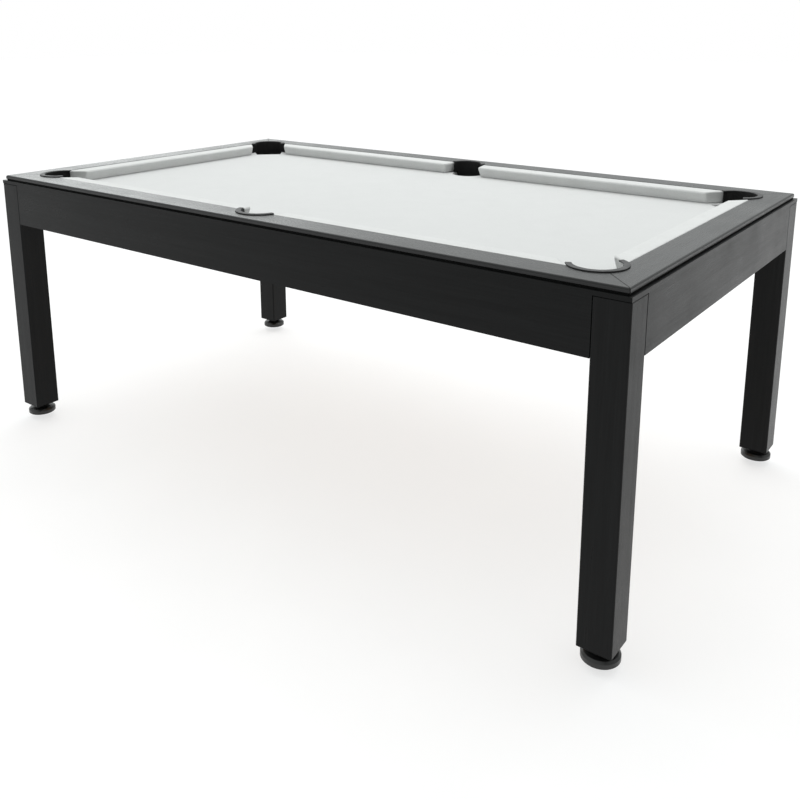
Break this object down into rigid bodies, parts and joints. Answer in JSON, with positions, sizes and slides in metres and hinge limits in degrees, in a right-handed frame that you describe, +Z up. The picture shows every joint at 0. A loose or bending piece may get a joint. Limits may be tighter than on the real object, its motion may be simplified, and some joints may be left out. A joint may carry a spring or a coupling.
{
  "type": "pool table",
  "caption": "Slim-framed pool table with square legs on levelling feet, mitred top rails, cloth-covered bed and cushions, and drop pockets with dark collars.",
  "frame": {"origin": "centre of the table's footprint, on the floor", "axes": "+X along the table's length, +Y across it towards the back long side, +Z up"},
  "size_m": [2.139, 1.207, 0.819],
  "materials": {
    "leg_laminate": "satin black wood-grain laminate",
    "apron_laminate": "satin black wood-grain laminate",
    "rail_laminate": "satin black wood-grain laminate, grain along each rail",
    "foot_plastic": "moulded black levelling foot",
    "insert_brass": "machined",
    "bracket_steel": "zinc-plated steel angle plate",
    "fastener_steel": "zinc-plated",
    "washer_steel": "zinc-plated",
    "frame_wood": "planed softwood batten",
    "bed_fibreboard": "raw fibreboard",
    "bed_cloth": "light grey woven table cloth",
    "trim_plastic": "black trim",
    "subrail_wood": "black-painted wood block",
    "cushion_rubber": "rubber cushion wrapped in light grey cloth",
    "collar_plastic": "moulded dark ring",
    "liner_rubber": "black pocket liner",
    "cup_plastic": "moulded black ball cup"
  },
  "bodies": {
    "table": {"leg_front_left": "leg_laminate", "leg_front_right": "leg_laminate", "leg_back_left": "leg_laminate", "leg_back_right": "leg_laminate", "foot_inserts": "insert_brass", "apron_front": "apron_laminate", "apron_back": "apron_laminate", "apron_left": "apron_laminate", "apron_right": "apron_laminate", "leg_brackets": "bracket_steel", "leg_bolts": "fastener_steel", "bracket_screws": "fastener_steel", "bed_ledgers": "frame_wood", "cross_beam_1": "frame_wood", "cross_beam_2": "frame_wood", "cross_beam_3": "frame_wood", "cross_beam_4": "frame_wood", "bed_board": "bed_fibreboard", "bed_cloth": "bed_cloth", "shadow_trim": "trim_plastic", "subrail_front": "subrail_wood", "subrail_back": "subrail_wood", "subrail_left": "subrail_wood", "subrail_right": "subrail_wood", "rail_front": "rail_laminate", "rail_back": "rail_laminate", "rail_left": "rail_laminate", "rail_right": "rail_laminate", "rail_bolts": "fastener_steel", "rail_washers": "washer_steel", "cushion_front_left": "cushion_rubber", "cushion_front_right": "cushion_rubber", "cushion_back_left": "cushion_rubber", "cushion_back_right": "cushion_rubber", "cushion_left": "cushion_rubber", "cushion_right": "cushion_rubber", "collar_front_left": "collar_plastic", "collar_front_middle": "collar_plastic", "collar_front_right": "collar_plastic", "collar_back_left": "collar_plastic", "collar_back_middle": "collar_plastic", "collar_back_right": "collar_plastic", "liner_front_left": "liner_rubber", "liner_front_middle": "liner_rubber", "liner_front_right": "liner_rubber", "liner_back_left": "liner_rubber", "liner_back_middle": "liner_rubber", "liner_back_right": "liner_rubber", "cup_front_left": "cup_plastic", "cup_front_middle": "cup_plastic", "cup_front_right": "cup_plastic", "cup_back_left": "cup_plastic", "cup_back_middle": "cup_plastic", "cup_back_right": "cup_plastic", "cup_screws": "fastener_steel"},
    "foot_front_left": {"foot_front_left": "foot_plastic"},
    "foot_front_right": {"foot_front_right": "foot_plastic"},
    "foot_back_left": {"foot_back_left": "foot_plastic"},
    "foot_back_right": {"foot_back_right": "foot_plastic"}
  },
  "joints": [
    {"name": "foot_front_left_level", "type": "slide", "parent": "table", "child": "foot_front_left", "axis": [0, 0, -1], "range_m": [0, 0.02]},
    {"name": "foot_front_right_level", "type": "slide", "parent": "table", "child": "foot_front_right", "axis": [0, 0, -1], "range_m": [0, 0.02]},
    {"name": "foot_back_left_level", "type": "slide", "parent": "table", "child": "foot_back_left", "axis": [0, 0, -1], "range_m": [0, 0.02]},
    {"name": "foot_back_right_level", "type": "slide", "parent": "table", "child": "foot_back_right", "axis": [0, 0, -1], "range_m": [0, 0.02]}
  ]
}
